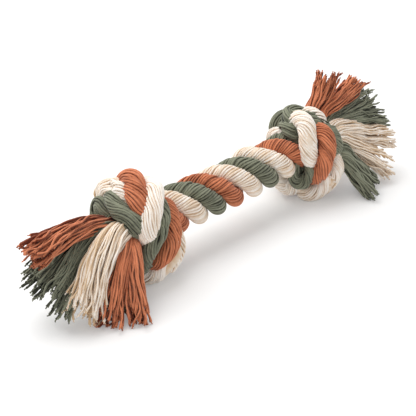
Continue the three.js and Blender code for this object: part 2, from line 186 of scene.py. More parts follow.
# The locks that a tuft's yarns gather into, each round its own place across the tuft
LOCKS = 7
LOCKS_ROUND = 6.3               # that would fill a full turn
LOCK_TURN = (0, 6)              # the range of the first one's place round the tuft, in radians
LOCK_OUT = 0.72                 # their distance from the tuft's middle, as a share of its radius
LOCK_RANGE = (0.5, 1.25)        # the range of it, in shares of it
GATHER = 0.36                   # of the way that the yarns move towards their lock
GATHER_FADE = (0.3, 0.95)       # where they do so, as shares of the tuft

# The cut ends
CUT_RANGE = (-0.15, 0.05)       # the range of the yarns' lengths, as shares of the tuft
CUT_SLANT = 0.07                # how much longer the lowest yarns of a tuft are than its middle ones
CUT_SLANTS = {"left_rust_high": -0.04}   # the same for the tufts that are cut another way
CURL = 1.2 * MM                 # the most that the last stretch of a yarn bends aside
CURL_FADE = (0.8, 1.02)         # where it does so, as shares of the yarn
NECK_SWELL = (1.0, 1.2)         # how much thicker a yarn is just before its cut end
END_SWELL = (1.1, 1.5)          # and at the end
YARN_CAP = 0.3 * MM             # how far the middle of the cut end stands out
PLIES = 3                       # that a yarn comes apart into
PLY_LENGTH = 1.2 * MM
PLY_LENGTHS = (0.7, 1.2)        # the range of it, in shares of it
PLY_START = -0.4                # where a ply begins, inside its yarn, in its own lengths
PLY_RINGS = 4
PLY_SIDES = 5
PLY_SPLAY = 0.4 * MM            # how far a ply bends away
PLY_SPLAY_POWER = 1.4
PLY_RADIUS = 0.33 * MM
PLY_TAPER = 0.4                 # the share of that which it loses towards its end
PLY_CAP = 0.1 * MM

# The curves and the map of the yarns
CURVE_STEPS = 24                # between two points of a route
MAP_LENGTH = 10 * MM            # along a yarn, for one unit of its map

# The turns of the knots, outermost first: name, width share, yarn angle in degrees, and the route.
# Each point of a route is (turn, lean, lift): turn in degrees round the rope, 0 at the back and 90 on
# top; lean in degrees towards +X; lift in strand thicknesses above the knot's skin.
LEFT_KNOT = [
    ("cream_over", 0.92, 34, [
        (20, 44, -0.3), (52, 40, -0.1), (90, 31, -0.1), (112, 20, 0), (128, 2, 0.08), (139, -8, 0.1),
        (150, -18, 0.1), (162, -25, 0), (178, -28, -0.45)]),
    ("green_curl", 0.85, 20, [
        (0, -54, -0.45), (12, -44, 0.05), (24, -37, 0.1), (37, -36, 0.12), (48, -42, 0.05), (54, -50, -0.2),
        (58, -58, -0.6)]),
    ("green_cross", 0.95, 24, [
        (34, -18, -0.6), (52, -29, -0.22), (74, -42, 0), (94, -47, 0.1), (115, -46, 0.12),
        (133, -43, 0.1), (150, -40, 0), (168, -37, -0.45)]),
    ("rust_over", 1.05, 44, [
        (8, 18, -0.3), (40, 15, 0), (66, 9, 0.12), (84, 0, 0.14), (99, -10, 0.12), (112, -17, 0.08),
        (124, -21, 0), (140, -25, -0.45)]),
    ("rust_side", 0.8, 32, [
        (122, 42, -0.45), (139, 46, -0.15), (154, 46, -0.1), (171, 42, -0.07), (186, 35, -0.04),
        (196, 21, 0.02), (204, 9, 0.02), (214, -2, -0.08), (226, -14, -0.45)]),
    ("green_side", 0.75, 30, [
        (124, 20, -0.45), (136, 16, -0.15), (146, 12, -0.12), (156, 7, -0.14), (164, 2, -0.22),
        (170, -6, -0.1), (178, -16, 0), (187, -24, 0.02), (198, -28, 0), (212, -27, 0), (228, -26, -0.05),
        (244, -26, -0.4)]),
    ("cream_low", 1.0, 38, [
        (180, 54, -0.35), (196, 38, 0.25), (210, 26, 0.35), (222, 12, 0.35), (234, 0, 0.3),
        (245, -11, 0.2), (258, -26, -0.2)]),
    ("cream_back", 1.0, 30, [
        (108, -28, -0.5), (84, -24, 0), (60, -20, 0.12), (45, -21, 0.3), (30, -26, 0.2),
        (12, -30, 0), (-5, -40, -0.35)]),
    ("green_under", 1.0, 34, [
        (-142, 50, -0.3), (-122, 33, -0.05), (-98, 4, 0), (-78, -18, 0), (-60, -40, -0.3)]),
    ("rust_rear", 1.0, 34, [
        (-106, 48, -0.3), (-85, 32, 0), (-60, 4, 0), (-38, -18, 0), (-20, -40, -0.3)]),
    ("cream_rear", 1.0, 34, [
        (-68, 48, -0.3), (-48, 32, 0), (-22, 6, 0), (-4, -10, 0), (10, -26, -0.45)]),
    ("green_rear", 1.0, 34, [
        (-30, 50, -0.3), (-12, 36, 0), (10, 12, -0.02), (30, -4, 0), (50, -14, -0.45)]),
]
RIGHT_KNOT = [
    ("cream_front", 0.92, 44, [
        (76, -24, -0.5), (90, -25, -0.1), (100, -23, 0.06), (112, -24, 0.16), (125, -29, 0.2),
        (139, -35, 0.17), (154, -39, 0.1), (168, -38, -0.02), (184, -32, -0.45)]),
    ("rust_front", 0.88, 36, [
        (118, -2, -0.6), (131, -1, -0.3), (143, 0, 0), (154, -2, 0.1), (164, -5, 0.12), (175, -11, 0.12),
        (187, -16, 0.12), (198, -19, 0.04), (209, -19, -0.15), (220, -21, -0.5)]),
    ("cream_top", 0.6, 30, [
        (84, -2, -0.6), (92, 1, -0.22), (101, 5, -0.1), (110, 10, -0.1), (119, 17, -0.22), (128, 26, -0.6)]),
    ("green_tuck", 0.7, 46, [
        (66, -36, -0.7), (76, -41, -0.1), (86, -45, 0.06), (97, -48, 0), (107, -50, -0.6)]),
    ("green_loop", 0.95, 34, [
        (96, -46, -0.5), (85, -38, 0), (76, -29, 0.1), (72, -17, 0.06), (82, -10, 0.02), (95, -6, -0.04),
        (108, -1, -0.1), (126, 10, -0.04), (140, 17, -0.02), (154, 24, 0), (170, 32, 0), (184, 35, -0.1),
        (196, 38, -0.45)]),
    ("green_neck", 0.8, 24, [
        (14, -36, -0.9), (24, -31, -0.5), (32, -26, -0.12), (40, -21, -0.02), (50, -15, -0.04),
        (58, -9, -0.25), (67, 0, -0.6)]),
    ("green_bottom", 0.55, 30, [
        (200, -64, -0.45), (217, -62, -0.08), (230, -55, 0.04), (230, -45, 0.08), (219, -38, 0.06),
        (204, -37, 0.02), (190, -38, -0.4)]),
    ("cream_low", 1.0, 40, [
        (160, 30, -0.8), (172, 38, -0.4), (185, 38, 0.02), (199, 30, 0.2), (214, 18, 0.26), (231, 4, 0.26),
        (248, -10, 0.24), (264, -18, -0.3)]),
    ("cream_neck", 0.9, 34, [
        (-112, -36, -0.4), (-90, -33, 0.1), (-65, -38, 0.06), (-35, -42, 0), (-8, -44, -0.06),
        (12, -45, -0.08), (27, -46, 0), (42, -46, 0), (56, -46, -0.15), (68, -47, -0.6)]),
    ("rust_under", 1.0, 34, [
        (-150, 52, -0.3), (-128, 38, -0.02), (-100, 10, 0), (-80, -8, 0), (-62, -24, -0.35)]),
    ("green_under", 1.0, 34, [
        (-106, 50, -0.3), (-84, 34, 0), (-60, 8, 0), (-38, -12, 0), (-22, -28, -0.35)]),
    ("rust_rear", 1.0, 34, [
        (-62, 50, -0.3), (-42, 36, 0), (-18, 12, 0), (2, -8, 0), (20, -22, -0.4)]),
    ("cream_rear", 1.0, 34, [
        (-22, 52, -0.3), (-4, 38, 0), (20, 20, 0.02), (36, 8, -0.06), (48, -4, -0.45)]),
]
# The turns that stand for no node, because the part shows only the end of a neighbour there
TUCKED = ("green_curl", "green_tuck")

# The turns inside each knot that its gaps show: colour, tilt of the ring in degrees, and its lift
INNER_TURNS = [("green", 0, -1.0), ("green", 55, -1.05), ("cream", 110, -1.1), ("green", 150, -1.15)]
INNER_LEAN = 0.2                # of each ring towards +X, as a share of its rise
INNER_RINGS = 100

# The tufts of the tassels: name, width and height shares, roll in degrees (negative with the front side
# low), yarns, where the swaying part begins, and the route. Each point of a route is (out, side, up)
# from the knot's middle, in tassel reaches: out away from the other knot, side towards the back.
LEFT_TUFTS = [
    ("rust_high", 1.12, 0.8, -56, 66, TUFT_SPLIT, [
        (0.08, 0.02, 0.05), (0.22, 0.03, 0.08), (0.35, 0, 0.15), (0.5, -0.02, 0.21), (0.73, -0.06, 0.26),
        (0.95, -0.08, 0.26), (1.13, -0.1, 0.24)]),
    ("cream_main", 1.65, 0.9, -42, 108, TUFT_SPLIT, [
        (0.12, -0.1, 0.06), (0.28, -0.14, 0.12), (0.38, -0.16, 0.12), (0.5, -0.2, 0.08),
        (0.66, -0.25, -0.03), (0.86, -0.33, -0.28)]),
    ("green_main", 2.25, 0.95, -38, 176, TUFT_SPLIT, [
        (0.1, -0.03, 0.04), (0.29, -0.04, 0.06), (0.41, -0.04, 0.1), (0.55, -0.03, 0.08),
        (0.72, -0.04, 0.02), (0.88, -0.05, -0.07), (1.02, -0.05, -0.16)]),
    ("rust_front", 1.02, 0.75, 0, 56, 0.55, [
        (0.08, -0.1, 0.02), (0.24, -0.19, 0.03), (0.37, -0.27, -0.02), (0.5, -0.33, -0.14),
        (0.7, -0.42, -0.43)]),
    ("rust_side", 0.8, 0.7, 0, 46, 0.64, [
        (0.08, -0.1, 0), (0.21, -0.2, 0.02), (0.3, -0.32, -0.03), (0.4, -0.43, -0.18),
        (0.5, -0.58, -0.43)]),
    ("green_low", 1.3, 0.7, 0, 56, TUFT_SPLIT, [
        (0.1, -0.02, -0.04), (0.28, -0.06, -0.14), (0.44, -0.18, -0.34), (0.57, -0.28, -0.42)]),
    ("cream_low", 1.2, 0.7, 0, 46, TUFT_SPLIT, [
        (0.1, 0.04, -0.04), (0.28, 0.1, -0.06), (0.48, 0.17, -0.2), (0.7, 0.18, -0.37)]),
]
RIGHT_TUFTS = [
    ("rust_high", 1.2, 0.8, 0, 60, 0.66, [
        (0.1, 0.04, 0.12), (0.19, 0.06, 0.33), (0.27, 0.05, 0.43), (0.34, 0.05, 0.53), (0.39, 0.05, 0.63)]),
    ("rust_low", 1.1, 0.75, 0, 56, TUFT_SPLIT, [
        (0.14, 0, 0.12), (0.27, 0, 0.3), (0.41, -0.04, 0.38), (0.57, -0.04, 0.43), (0.74, -0.04, 0.5)]),
    ("green_high", 1.1, 0.75, -20, 58, TUFT_SPLIT, [
        (0.16, -0.02, 0.1), (0.34, -0.02, 0.24), (0.55, -0.03, 0.26), (0.76, -0.02, 0.27),
        (0.97, -0.02, 0.29)]),
    ("green_mid", 1.2, 0.8, -30, 66, TUFT_SPLIT, [
        (0.18, -0.04, 0.08), (0.33, -0.04, 0.22), (0.56, -0.07, 0.2), (0.8, -0.08, 0.14),
        (1.06, -0.12, 0.08)]),
    ("cream_high", 1.25, 0.95, -30, 104, TUFT_SPLIT, [
        (0.18, -0.08, 0.06), (0.33, -0.12, 0.16), (0.5, -0.16, 0.11), (0.71, -0.19, 0),
        (0.88, -0.21, -0.05), (1.03, -0.24, -0.1)]),
    ("cream_low", 1.3, 0.9, -30, 84, TUFT_SPLIT, [
        (0.18, -0.1, 0.04), (0.33, -0.17, 0.1), (0.44, -0.22, 0.01), (0.6, -0.28, -0.12),
        (0.84, -0.38, -0.31)]),
    ("green_low", 2.35, 0.9, 0, 130, 0.6, [
        (0.12, -0.12, -0.02), (0.26, -0.24, -0.02), (0.32, -0.28, -0.1), (0.4, -0.35, -0.23),
        (0.51, -0.47, -0.42)]),
    ("rust_back", 1.2, 0.7, 0, 46, TUFT_SPLIT, [
        (0.12, 0.05, -0.04), (0.34, 0.12, -0.08), (0.58, 0.18, -0.19), (0.78, 0.2, -0.34)]),
]
# The tufts whose tips fork from a neighbour's root, so that they have no root node
FORKED = ("left_rust_side", "right_cream_low")

# The cotton: the darkest and the lightest tone of each colour, and its surface. The darkest tones also serve
# the painted shade between the yarns.
COTTON_TONES = {
    "cream": ((0.68, 0.48, 0.29), (0.95, 0.89, 0.82)),
    "green": ((0.036, 0.038, 0.023), (0.245, 0.255, 0.18)),
    "rust": ((0.16, 0.031, 0.01), (0.67, 0.228, 0.108)),
}
COTTON_SURFACE = {
    "Roughness": 0.9,
    "Specular IOR Level": 0.25,
    "Sheen Weight": 0.15,
    "Sheen Roughness": 0.5,
}
PLY_RIDGES = 2                  # round a yarn
PLY_TURN = 22.0                 # radians that they turn along one unit of the yarn's map
PATCH_SCALE = 160               # of the noise that makes patches lighter and darker
FIBRE_SCALE = 3200              # and of the noise that stands for fibres
NOISE_DETAIL = 2
NOISE_MIDDLE = 0.5
TONE_MIDDLE = 0.5
TINT_TONE = 0.24                # how much of the tone comes from each yarn's tint
PATCH_TONE = 0.9                # from the patches
FIBRE_TONE = 0.5                # from the fibres
PLY_SHADE_TONE = 0.06                 # from the plies: painted shade in the grooves between them, lighter on their ridges
CREST_SHADE_TONE = 0.6                # and from painted shade: the yarn's outer side painted lighter, its sides, where it lies beside others, darker
CREST_TURN = 0.5                # radians from a yarn's first corner to its outer side
CREST_SHADE_MIDDLE = 0.45
PLY_RELIEF = 0.5                # height of the plies beside the fibres
RELIEF_STRENGTH = 0.35
RELIEF_DEPTH = 0.12 * MM

# The camera, at the photograph's angle
CAMERA_TURN = math.radians(-45.7)
CAMERA_RISE = math.radians(27)
CAMERA_DISTANCE = 577 * MM
CAMERA_LENS = 92.0
CAMERA_SENSOR = 36              # millimetres, as the lens
CAMERA_SHIFT = (-0.0421, -0.0534)
AIM_HEIGHT = 28 * MM
TARGET = Vector(ROPE_MIDDLE * [1, 1, 0]) + Vector((0, 0, AIM_HEIGHT))

# The floor and the light
FLOOR_HALF = 4.0
FLOOR_COLOUR = (0.92, 0.917, 0.912)
FLOOR_ROUGHNESS = 0.85
FLOOR_GLOW = 0.2                # how much of the floor's look is plain white paper, without shade
WORLD_STRENGTH = 0.62
LIGHTS = [                      # name, place, size and watts
    ("key", (-0.1, 0.45, 1.2), 1.2, 16.0),
    ("fill", (-0.9, -0.6, 0.6), 1.0, 1.0),
]


def unit(vectors):
    return vectors / np.maximum(np.linalg.norm(vectors, axis=-1, keepdims=True), LEAST)


def dot(a, b):
    return (a * b).sum(-1)


def smooth(low, high, value):
    """A smooth step, from 0 at the low value to 1 at the high one."""
    t = np.clip((value - low) / (high - low), 0, 1)
    return t * t * (3 - 2 * t)


def even_out(shift, axis, reach):
    """Smooths a row of values along one axis, over so many places each way."""
    kernel = np.cos(np.linspace(-1, 1, 2 * reach + 3)[1:-1] * math.pi / 2)
    kernel /= kernel.sum()
    edges = [(0, 0)] * shift.ndim
    edges[axis] = (reach, reach)
    padded = np.pad(shift, edges, mode="edge")
    count = shift.shape[axis]
    return sum(k * np.take(padded, range(i, i + count), axis=axis) for i, k in enumerate(kernel))


def wander(rng, shape, along, wavelength, size=1):
    """Smooth random curves over the lengths given, one for each row, about as high as the size."""
    total = np.zeros(shape)
    for wave in WAVES:
        phase = rng.uniform(0, 2 * math.pi, (shape[0], 1))
        pace = 2 * math.pi / (wavelength * wave * rng.uniform(*WAVE_RANGE, (shape[0], 1)))
        total += np.sin(pace * along + phase) * wave ** 0.5
    return total / len(WAVES) * size


def run_along(points):
    """The length along rows of points, from the first of each row."""
    steps = np.linalg.norm(np.diff(points, axis=-2), axis=-1)
    start = np.zeros(steps.shape[:-1] + (1,))
    return np.concatenate([start, np.cumsum(steps, axis=-1)], axis=-1)


def fine_curve(route):
    """Many points of a smooth curve through a route, as a centripetal Catmull-Rom curve."""
    p = np.asarray(route, float)
    q = np.vstack([2 * p[0] - p[1], p, 2 * p[-1] - p[-2]])
    t = np.linspace(0, 1, CURVE_STEPS, endpoint=False)[:, None]
    pieces = []
    for a, b, c, d in zip(q, q[1:], q[2:], q[3:]):
        ab, bc, cd = (math.sqrt(np.linalg.norm(y - x)) for x, y in ((a, b), (b, c), (c, d)))
        m0 = ((b - a) / ab - (c - a) / (ab + bc) + (c - b) / bc) * bc
        m1 = ((c - b) / bc - (d - b) / (bc + cd) + (d - c) / cd) * bc
        pieces.append(b + m0 * t + (3 * (c - b) - 2 * m0 - m1) * t ** 2 + (2 * (b - c) + m0 + m1) * t ** 3)
    return np.vstack(pieces + [p[-1:]])


def curve_length(route):
    return run_along(fine_curve(route))[-1]


def spline(route, count):
    """So many evenly spaced points of the smooth curve through a route."""
    fine = fine_curve(route)
    run = run_along(fine)
    even = np.linspace(0, run[-1], count)
    return np.stack([np.interp(even, run, fine[:, i]) for i in range(3)], axis=1)


class Strand:
    """A strand's middle line with its frame (along, out of the surface, and side) and its half sizes.

    live lists the rings that cover the strands below, all of them if it isn't given.
    """

    def __init__(self, centre, out, wide, thick, live=None):
        self.centre = centre
        self.along = unit(np.gradient(centre, axis=0))
        raw = out - self.along * dot(out, self.along)[:, None]
        self.out = unit(raw)
        good = np.flatnonzero(np.linalg.norm(raw, axis=1) > SQUARE_ENOUGH)
        before = range(good[0] - 1, -1, -1)
        after = range(good[-1] + 1, len(centre))
        for i in [*before, *after]:
            near = self.out[i + 1] if i < good[0] else self.out[i - 1]
            self.out[i] = unit(near - self.along[i] * dot(near, self.along[i]))
        self.side = np.cross(self.along, self.out)
        self.wide = wide * np.ones(len(centre))
        self.thick = thick * np.ones(len(centre))
        self.run = run_along(centre)
        self.live = np.arange(len(centre)) if live is None else live


def tube_faces(rows, rings, sides):
    """The quads of the walls and the triangles of both ends. The ends' middles are the last points."""
    wall = (np.arange(rows)[:, None, None] * rings + np.arange(rings)[:, None]) * sides + np.arange(sides)
    turned = np.roll(wall, -1, axis=2)
    quads = np.stack([wall[:, :-1], turned[:, :-1], turned[:, 1:], wall[:, 1:]], axis=-1)
    tips = rows * rings * sides + np.arange(rows)[:, None] * 2
    first = np.stack([turned[:, 0], wall[:, 0], np.broadcast_to(tips, (rows, sides))], axis=-1)
    last = np.stack([wall[:, -1], turned[:, -1], np.broadcast_to(tips + 1, (rows, sides))], axis=-1)
    return quads.reshape(-1, 4), np.concatenate([first.reshape(-1, 3), last.reshape(-1, 3)])


def tube_map(run, sides):
    """The place of each corner of the quads in the yarn's map: round the yarn, and along it."""
    rows, rings = run.shape
    place = np.arange(sides) / sides
    step = 1 / sides
    quad = np.stack([place, place + step, place + step, place], axis=-1)
    around = np.broadcast_to(quad, (rows, rings - 1, sides, 4))
    two_corners = (rows, rings - 1, sides, 2)
    along = np.concatenate([np.broadcast_to(run[:, :-1, None, None], two_corners),
                            np.broadcast_to(run[:, 1:, None, None], two_corners)], axis=-1)
    return np.stack([around, along / MAP_LENGTH], axis=-1).reshape(-1, 2)


def tubes(centres, radial, radius, sides, cap=0.0):
    """A bundle of closed tubes along rows of points: its points, its faces, and the map of its quads."""
    rows, rings = centres.shape[:2]
    along = unit(np.gradient(centres, axis=1))
    out = unit(radial - along * dot(radial, along)[..., None])
    side = np.cross(along, out)
    angle = 2 * math.pi * (np.arange(sides) + 0.5) / sides
    ring = np.cos(angle)[:, None] * out[:, :, None] + np.sin(angle)[:, None] * side[:, :, None]
    points = centres[:, :, None] + ring * radius[..., None, None]
    ends = np.stack([centres[:, 0] - along[:, 0] * cap, centres[:, -1] + along[:, -1] * cap], axis=1)
    quads, tris = tube_faces(rows, rings, sides)
    return {
        "points": np.concatenate([points.reshape(-1, 3), ends.reshape(-1, 3)]),
        "quads": quads,
        "tris": tris,
        "map": tube_map(run_along(centres), sides),
        "per_row": rings * sides,
    }


def build(name, bundles, colour, body, tints):
    """One mesh object from bundles of tubes, in a cotton material, riding on a body if one is given.

    tints has a row for each bundle, with how light each of its yarns is, from about -1 to 1.
    """
    starts = np.cumsum([0] + [len(bundle["points"]) for bundle in bundles])
    points = np.concatenate([bundle["points"] for bundle in bundles])
    quads = np.concatenate([bundle["quads"] + start for bundle, start in zip(bundles, starts)])
    tris = np.concatenate([bundle["tris"] + start for bundle, start in zip(bundles, starts)])
    corners = np.concatenate([bundle["map"] for bundle in bundles] + [np.zeros((tris.size, 2))])
    tint = []
    for bundle, values in zip(bundles, tints):
        tint += [np.repeat(values, bundle["per_row"]), np.repeat(values, 2)]
    mesh = bpy.data.meshes.new(name)
    mesh.vertices.add(len(points))
    mesh.vertices.foreach_set("co", points.astype(np.float32).ravel())
    loops = np.concatenate([quads.ravel(), tris.ravel()])
    mesh.loops.add(len(loops))
    mesh.loops.foreach_set("vertex_index", loops.astype(np.int32))
    firsts = np.concatenate([np.arange(len(quads)) * 4, len(quads) * 4 + np.arange(len(tris)) * 3])
    mesh.polygons.add(len(firsts))
    mesh.polygons.foreach_set("loop_start", firsts.astype(np.int32))
    mesh.polygons.foreach_set("use_smooth", np.ones(len(firsts), bool))
    mesh.uv_layers.new(name="yarn").data.foreach_set("uv", corners.astype(np.float32).ravel())
    tint_layer = mesh.attributes.new("tint", "FLOAT", "POINT")
    tint_layer.data.foreach_set("value", np.concatenate(tint).astype(np.float32))
    mesh.update(calc_edges=True)
    mesh.validate()
    mesh.materials.append(COTTON[colour])
    piece = bpy.data.objects.new(name, mesh)
    bpy.context.scene.collection.objects.link(piece)
    if body:
        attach(piece, body)
    return piece


def beside(points, upper):
    """Where points lie about an upper strand: its nearest ring, how far across and up from it they are,
    and how much they are beside it at all, down to 0 past its ends."""
    distance = ((points[:, None] - upper.centre[upper.live][None]) ** 2).sum(-1)
    near = upper.live[distance.argmin(axis=1)]
    offset = points - upper.centre[near]
    level = 1 - smooth(*END_FADE, np.abs(dot(offset, upper.along[near])) / upper.wide[near])
    return near, np.abs(dot(offset, upper.side[near])), dot(offset, upper.out[near]), level


def hidden(points, strand, uppers, radius):
    """The yarns of a strand, moved in below the skin of the upper strands that cover them."""
    rows = points.reshape(-1, 3)
    moved = rows.copy()
    for upper in uppers:
        near, across, _, level = beside(rows, upper)
        over, _, strand_up, _ = beside(strand.centre, upper)
        below = 1 - smooth(*CLEAR_FADE, strand_up / upper.thick[over])
        below = np.broadcast_to(below, points.shape[:-1]).reshape(-1)
        across = across / upper.wide[near]
        skin = upper.thick[near] * np.sqrt(np.maximum(0, 1 - across ** 2))
        limit = skin - radius - UNDER_GAP + EDGE_ROOM * smooth(*EDGE_FADE, across)
        push = np.maximum(0, dot(moved - upper.centre[near], upper.out[near]) - limit)
        moved -= upper.out[near] * (push * level * below)[:, None]
    return points + even_out(moved.reshape(points.shape) - points, axis=1, reach=UNDER_SMOOTHING)


def sinking(rng, shape, run):
    """How deep each yarn sinks between its neighbours, which leaves dark creases here and there."""
    deep = np.zeros(shape)
    for _ in range(math.ceil(run[0, -1] / CREASE_EVERY)):
        where = rng.uniform(0, run[0, -1], (shape[0], 1))
        chosen = rng.uniform(0, 1, (shape[0], 1)) < CREASE_SHARE
        deep += CREASE_DEPTH * chosen * np.exp(-((run - where) / CREASE_LENGTH) ** 2)
    return np.minimum(deep, CREASE_DEPTH)


def bunching(rng, shape, run):
    """How deep the yarns in the grooves lie, between the bunches that a strand's yarns gather into."""
    groove = np.zeros((shape[0], 1))
    place = 0
    while place < shape[0]:
        groove[place] = rng.uniform(*GROOVE_DEPTHS)
        place += rng.integers(BUNCH_YARNS[0], BUNCH_YARNS[1] + 1)
    return BUNCH_DEPTH * groove * (GROOVE_MIDDLE + wander(rng, shape, run, *GROOVE_STRAY))


def laid_yarns(strand, angle, colour, shift, rng, uppers=()):
    """The outer yarns of a laid strand and the filling below them, as bundles with their tints."""
    lean = math.radians(angle)
    middle = (strand.wide.mean() + strand.thick.mean()) / 2 - YARN_RADIUS
    count = max(FEWEST_YARNS, round(2 * math.pi * middle * math.cos(lean) / YARN_SPACING))
    run = strand.run[None]
    shape = (count, len(strand.centre))
    phase = run * math.tan(lean) / middle + 2 * math.pi * np.arange(count)[:, None] / count
    phase = phase + wander(rng, shape, run, *YARN_STRAY) * math.pi / count
    phase = phase + wander(rng, (1, shape[1]), run, *STRAND_STRAY)
    radius = YARN_RADIUS * rng.uniform(*YARN_SIZES, (count, 1))
    radius = radius * (1 + wander(rng, shape, run, *THICKNESS_STRAY))
    depth = 1 + wander(rng, shape, run, *DEPTH_STRAY) + rng.uniform(*YARN_DEPTHS, (count, 1))
    sunk = GROOVE_SHARES[colour] * (sinking(rng, shape, run) + bunching(rng, shape, run))
    across = ((strand.wide - YARN_RADIUS) * depth - sunk) * np.cos(phase)
    up = ((strand.thick - YARN_RADIUS) * depth - sunk) * np.sin(phase)
    centres = strand.centre + across[..., None] * strand.side + up[..., None] * strand.out
    radial = np.cos(phase)[..., None] * strand.side + np.sin(phase)[..., None] * strand.out
    core = strand.centre[None]
    core_radius = np.maximum(np.minimum(strand.wide, strand.thick)[None] - CORE_INSET, CORE_LEAST)
    if uppers:
        centres = hidden(centres, strand, uppers, YARN_RADIUS)
        core = hidden(core, strand, uppers, PASS_THICKNESS / 2)
    yarns = tubes(centres, radial, radius, YARN_SIDES)
    filling = tubes(core, strand.out[None], core_radius, CORE_SIDES)
    # The filling is painted as dark as the darkest yarn, shade for the gaps between the yarns.
    return [yarns, filling], [shift + rng.uniform(-1, 1, count), np.array([CORE_SHADE_TINT])]


def lay_place(colour, turns):
    """How far along the rope a strand is after so many turns past its first listed front.

    In front of the rope it keeps the even lay, and makes up any difference behind it.
    """
    fronts = np.array(FRONT_THIRDS[colour], float)
    number = np.arange(len(fronts))
    marks = np.concatenate([number, number + UNDER_TURN, number + OVER_TURN - 1])
    thirds = np.concatenate([fronts, fronts + 3 * UNDER_TURN, fronts + 3 * (OVER_TURN - 1)])
    order = marks.argsort()
    return LAY_FRONT + np.interp(turns, marks[order], thirds[order]) * LAY_LENGTH / 3


def strand_place(colour, turns):
    """A strand's places in the rope after so many turns past its first listed front, and outward there."""
    along = lay_place(colour, turns) + FRONT_STRETCH * np.sin(2 * math.pi * turns)
    along = even_out(along, axis=0, reach=PACE_SMOOTHING)
    theta = FRONT_ANGLE + 2 * math.pi * turns
    out = np.stack([0 * theta, np.cos(theta), np.sin(theta)], axis=1)
    from_crossing = (along - LAY_FRONT) / (LAY_LENGTH / 3) - CROSSING_THIRD
    behind = np.maximum(0, np.cos(theta)) ** BEHIND_POWER * np.exp(-CROSSING_SHARPNESS * from_crossing ** 2)
    offset = STRAND_OFFSET + CROSSING_SHARES[colour] * behind * ROPE_STRAND_DIAMETER
    rise = ROPE_RISE * np.clip(2 * along / KNOT_SPACING, 0, 1) ** 2
    return ROPE_MIDDLE + out * offset[:, None] + np.stack([along, 0 * along, rise], axis=1), out


def rope_strand(colour):
    """One strand of the rope, from inside one knot to inside the other."""
    samples = np.linspace(0, len(FRONT_THIRDS[colour]) - 1, LAY_SAMPLES)
    reach = KNOT_SPACING / 2 + ROPE_END_REACH
    ends = np.interp([-reach, reach], lay_place(colour, samples), samples)
    centre, out = strand_place(colour, np.linspace(ends[0], ends[1], ROPE_RINGS))
    return Strand(centre, out, ROPE_STRAND_DIAMETER / 2, ROPE_STRAND_DIAMETER / 2)


def knot_point(middle, row):
    """A point on or near the skin of a knot."""
    turn, lean, lift = row
    theta, phi = math.radians(turn), math.radians(lean)
    way = np.array([math.sin(phi), math.cos(phi) * math.cos(theta), math.cos(phi) * math.sin(theta)])
    return middle + way * SHELL + unit(way / SHELL) * lift * PASS_THICKNESS


def knot_strand(middle, wide_share, rows):
    """A turn over a knot, with both ends led on into the knot."""
    first, last = ((turn, lean, lift - PASS_DIVE) for turn, lean, lift in (rows[0], rows[-1]))
    route = [knot_point(middle, row) for row in [first, *rows, last]]
    length = curve_length(route)
    count = max(FEWEST_RINGS, round(length / STATION))
    centre = spline(route, count)
    out = unit((centre - middle) / SHELL ** 2)
    share = np.linspace(0, 1, count)
    from_end = np.minimum(share, 1 - share) * length
    taper = PASS_END_SHARE + (1 - PASS_END_SHARE) * smooth(0, PASS_TAPER, from_end)
    live = np.flatnonzero(from_end > PASS_BARE_END)
    return Strand(centre, out, PASS_WIDTH / 2 * wide_share * taper, PASS_THICKNESS / 2 * taper, live)


def inner_turn(middle, tilt, lift):
    """A whole turn inside a knot, its ring tilted about the upright."""
    a = math.radians(tilt)
    around = np.linspace(0, 2 * math.pi, INNER_RINGS)[:, None]
    level = np.array([math.cos(a), math.sin(a), 0])
    way = unit(np.cos(around) * level + np.sin(around) * np.array([INNER_LEAN, 0, 1]))
    return Strand(middle + way * (SHELL + lift * PASS_THICKNESS), way, PASS_WIDTH / 2, PASS_THICKNESS / 2)


def tuft_line(middle, outward, rows):
    """The middle line of a tuft, and its length."""
    route = [middle + TASSEL_REACH * np.array([outward * out, side, up]) for out, side, up in rows]
    return spline(route, TUFT_STATIONS), curve_length(route)


def on_line(line, length, share):
    """The places at some shares of a tuft's middle line, which runs on straight past its tips."""
    overshoot = line[-1] + unit(line[-1] - line[-2]) * length * OVERSHOOT
    places = np.concatenate([np.linspace(0, 1, TUFT_STATIONS), [1 + OVERSHOOT]])
    line = np.vstack([line, overshoot])
    return np.stack([np.interp(share, places, line[:, i]) for i in range(3)], axis=-1)


def yarn_disc(count, rng):
    """The places of a tuft's yarns across its root, as complex numbers within 1."""
    index = np.arange(count)[:, None]
    angle = index * GOLDEN_ANGLE + rng.uniform(*ANGLE_RANGE, (count, 1))
    return np.sqrt((index + 0.5) / count) * np.exp(1j * angle)


def gathered(disc, share, rng):
    """The yarns' places across a tuft along their way, as they gather into locks and the tuft turns."""
    turn = np.arange(LOCKS) * 2 * math.pi / LOCKS_ROUND + rng.uniform(*LOCK_TURN)
    locks = LOCK_OUT * np.exp(1j * turn) * rng.uniform(*LOCK_RANGE, LOCKS)
    nearest = locks[np.abs(disc - locks[None]).argmin(axis=1)][:, None]
    gather = smooth(*GATHER_FADE, share) * GATHER
    place = disc * (1 - gather) + nearest * gather
    return place * np.exp(1j * (TUFT_TWIST * share * (2 - share)))


def frayed(centres, rng):
    """The plies of each loose yarn, coming apart at its cut end."""
    along = np.repeat(unit(centres[:, -1] - centres[:, -3]), PLIES, axis=0)
    away = unit(np.cross(along, rng.normal(0, 1, along.shape)))[:, None]
    run = np.linspace(PLY_START, 1, PLY_RINGS)[None] * rng.uniform(*PLY_LENGTHS, (len(along), 1))
    past_cut = np.maximum(0, run)
    points = np.repeat(centres[:, -1], PLIES, axis=0)[:, None] + along[:, None] * PLY_LENGTH * run[..., None]
    points = points + away * PLY_SPLAY * (past_cut ** PLY_SPLAY_POWER)[..., None]
    points[..., 2] = np.maximum(points[..., 2], PLY_RADIUS)
    return tubes(points, away, PLY_RADIUS * (1 - PLY_TAPER * past_cut), PLY_SIDES, cap=PLY_CAP)


